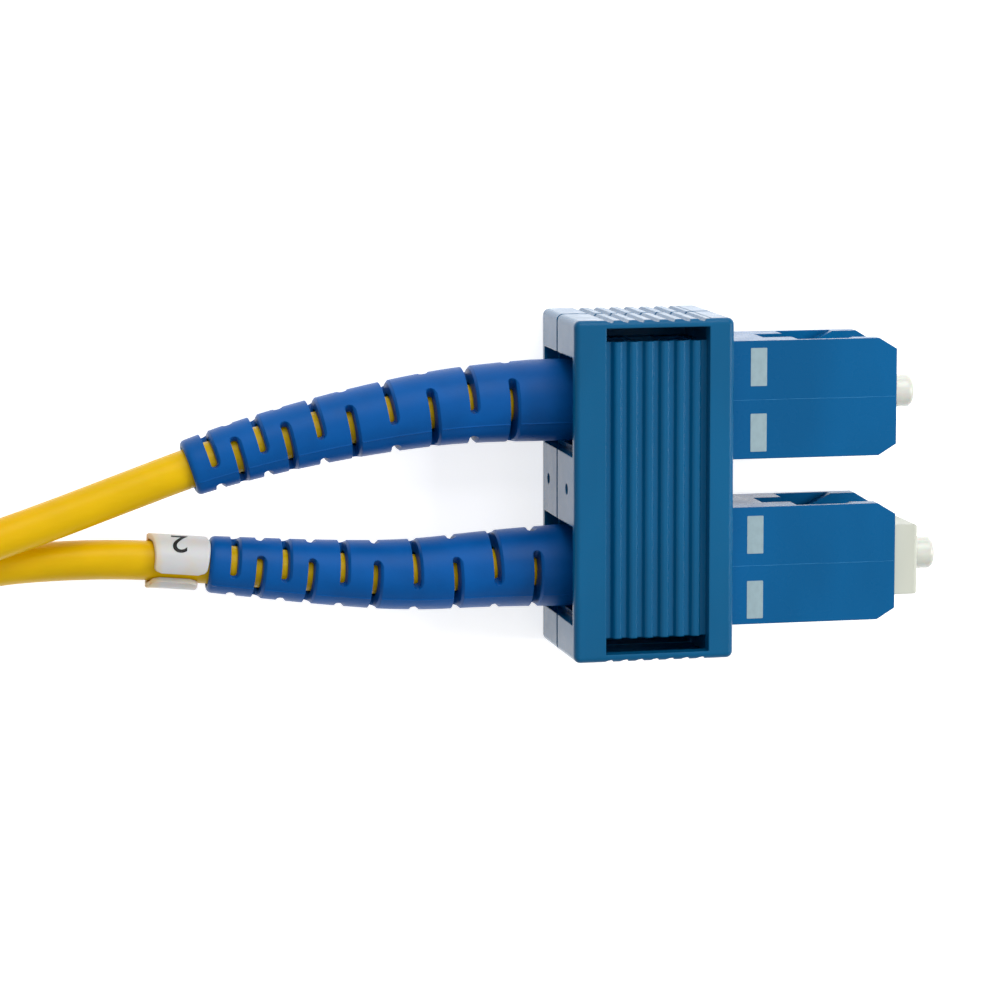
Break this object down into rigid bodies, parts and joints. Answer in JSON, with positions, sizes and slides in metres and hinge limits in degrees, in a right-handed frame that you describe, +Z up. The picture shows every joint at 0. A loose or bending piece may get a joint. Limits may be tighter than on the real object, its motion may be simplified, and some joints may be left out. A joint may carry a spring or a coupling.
{
  "type": "duplex sc fibre connector",
  "caption": "Duplex push-pull fibre connector: two sliding plugs with sprung ceramic ferrules in a ribbed snap clip, with slitted boots on a short two-core patch lead.",
  "frame": {"origin": "centre of the duplex clip's lower face, which it rests on", "axes": "+X the way the plugs go into an adaptor, +Z up out of the resting face, +Y from plug b to plug a"},
  "size_m": [0.2088, 0.0315, 0.0138],
  "materials": {
    "clip_plastic": "moulded, satin",
    "grip_plastic": "moulded, semi-gloss",
    "boot_rubber": "soft moulded",
    "frame_plastic": "moulded, white",
    "zirconia": "ground and polished",
    "nickel": "turned, nickel plated",
    "spring_steel": "drawn wire",
    "fibre_buffer": "tight buffer",
    "jacket": "extruded, satin",
    "marker_plastic": "moulded, white",
    "tie_strap": "woven hook and loop"
  },
  "bodies": {
    "root": {"clip_upper": "clip_plastic", "clip_lower": "clip_plastic", "grip_a": "grip_plastic", "grip_b": "grip_plastic", "cable_a": "jacket", "cable_b": "jacket", "coil": "jacket", "coil_tie_1": "tie_strap", "coil_tie_2": "tie_strap", "far_cable_a": "jacket", "far_cable_b": "jacket", "far_clip_upper": "clip_plastic", "far_clip_lower": "clip_plastic", "far_grip_a": "grip_plastic", "far_frame_a": "frame_plastic", "far_ferrule_a": "zirconia", "far_rear_body_a": "nickel", "far_boot_a": "boot_rubber", "far_grip_b": "grip_plastic", "far_frame_b": "frame_plastic", "far_ferrule_b": "zirconia", "far_rear_body_b": "nickel", "far_boot_b": "boot_rubber"},
    "plug_a": {"frame_a": "frame_plastic", "rear_body_a": "nickel", "crimp_ring_a": "nickel", "boot_a": "boot_rubber", "spring_a": "spring_steel"},
    "ferrule_set_a": {"ferrule_a": "zirconia", "flange_a": "nickel", "fibre_a": "fibre_buffer"},
    "plug_b": {"frame_b": "frame_plastic", "rear_body_b": "nickel", "crimp_ring_b": "nickel", "boot_b": "boot_rubber", "spring_b": "spring_steel", "marker_ring": "marker_plastic"},
    "ferrule_set_b": {"ferrule_b": "zirconia", "flange_b": "nickel", "fibre_b": "fibre_buffer"}
  },
  "joints": [
    {"name": "plug_a_slide", "type": "slide", "parent": "root", "child": "plug_a", "axis": [1, 0, 0], "range_m": [0, 0.0018], "deforming": ["cable_a"]},
    {"name": "plug_b_slide", "type": "slide", "parent": "root", "child": "plug_b", "axis": [1, 0, 0], "range_m": [-0.0018, 0], "deforming": ["cable_b"]},
    {"name": "ferrule_a_float", "type": "slide", "parent": "plug_a", "child": "ferrule_set_a", "axis": [1, 0, 0], "range_m": [-0.001, 0], "stiffness_N_per_m": 1500, "springref_m": 0.006, "deforming": ["spring_a"]},
    {"name": "ferrule_b_float", "type": "slide", "parent": "plug_b", "child": "ferrule_set_b", "axis": [1, 0, 0], "range_m": [-0.001, 0], "stiffness_N_per_m": 1500, "springref_m": 0.006, "deforming": ["spring_b"]}
  ]
}
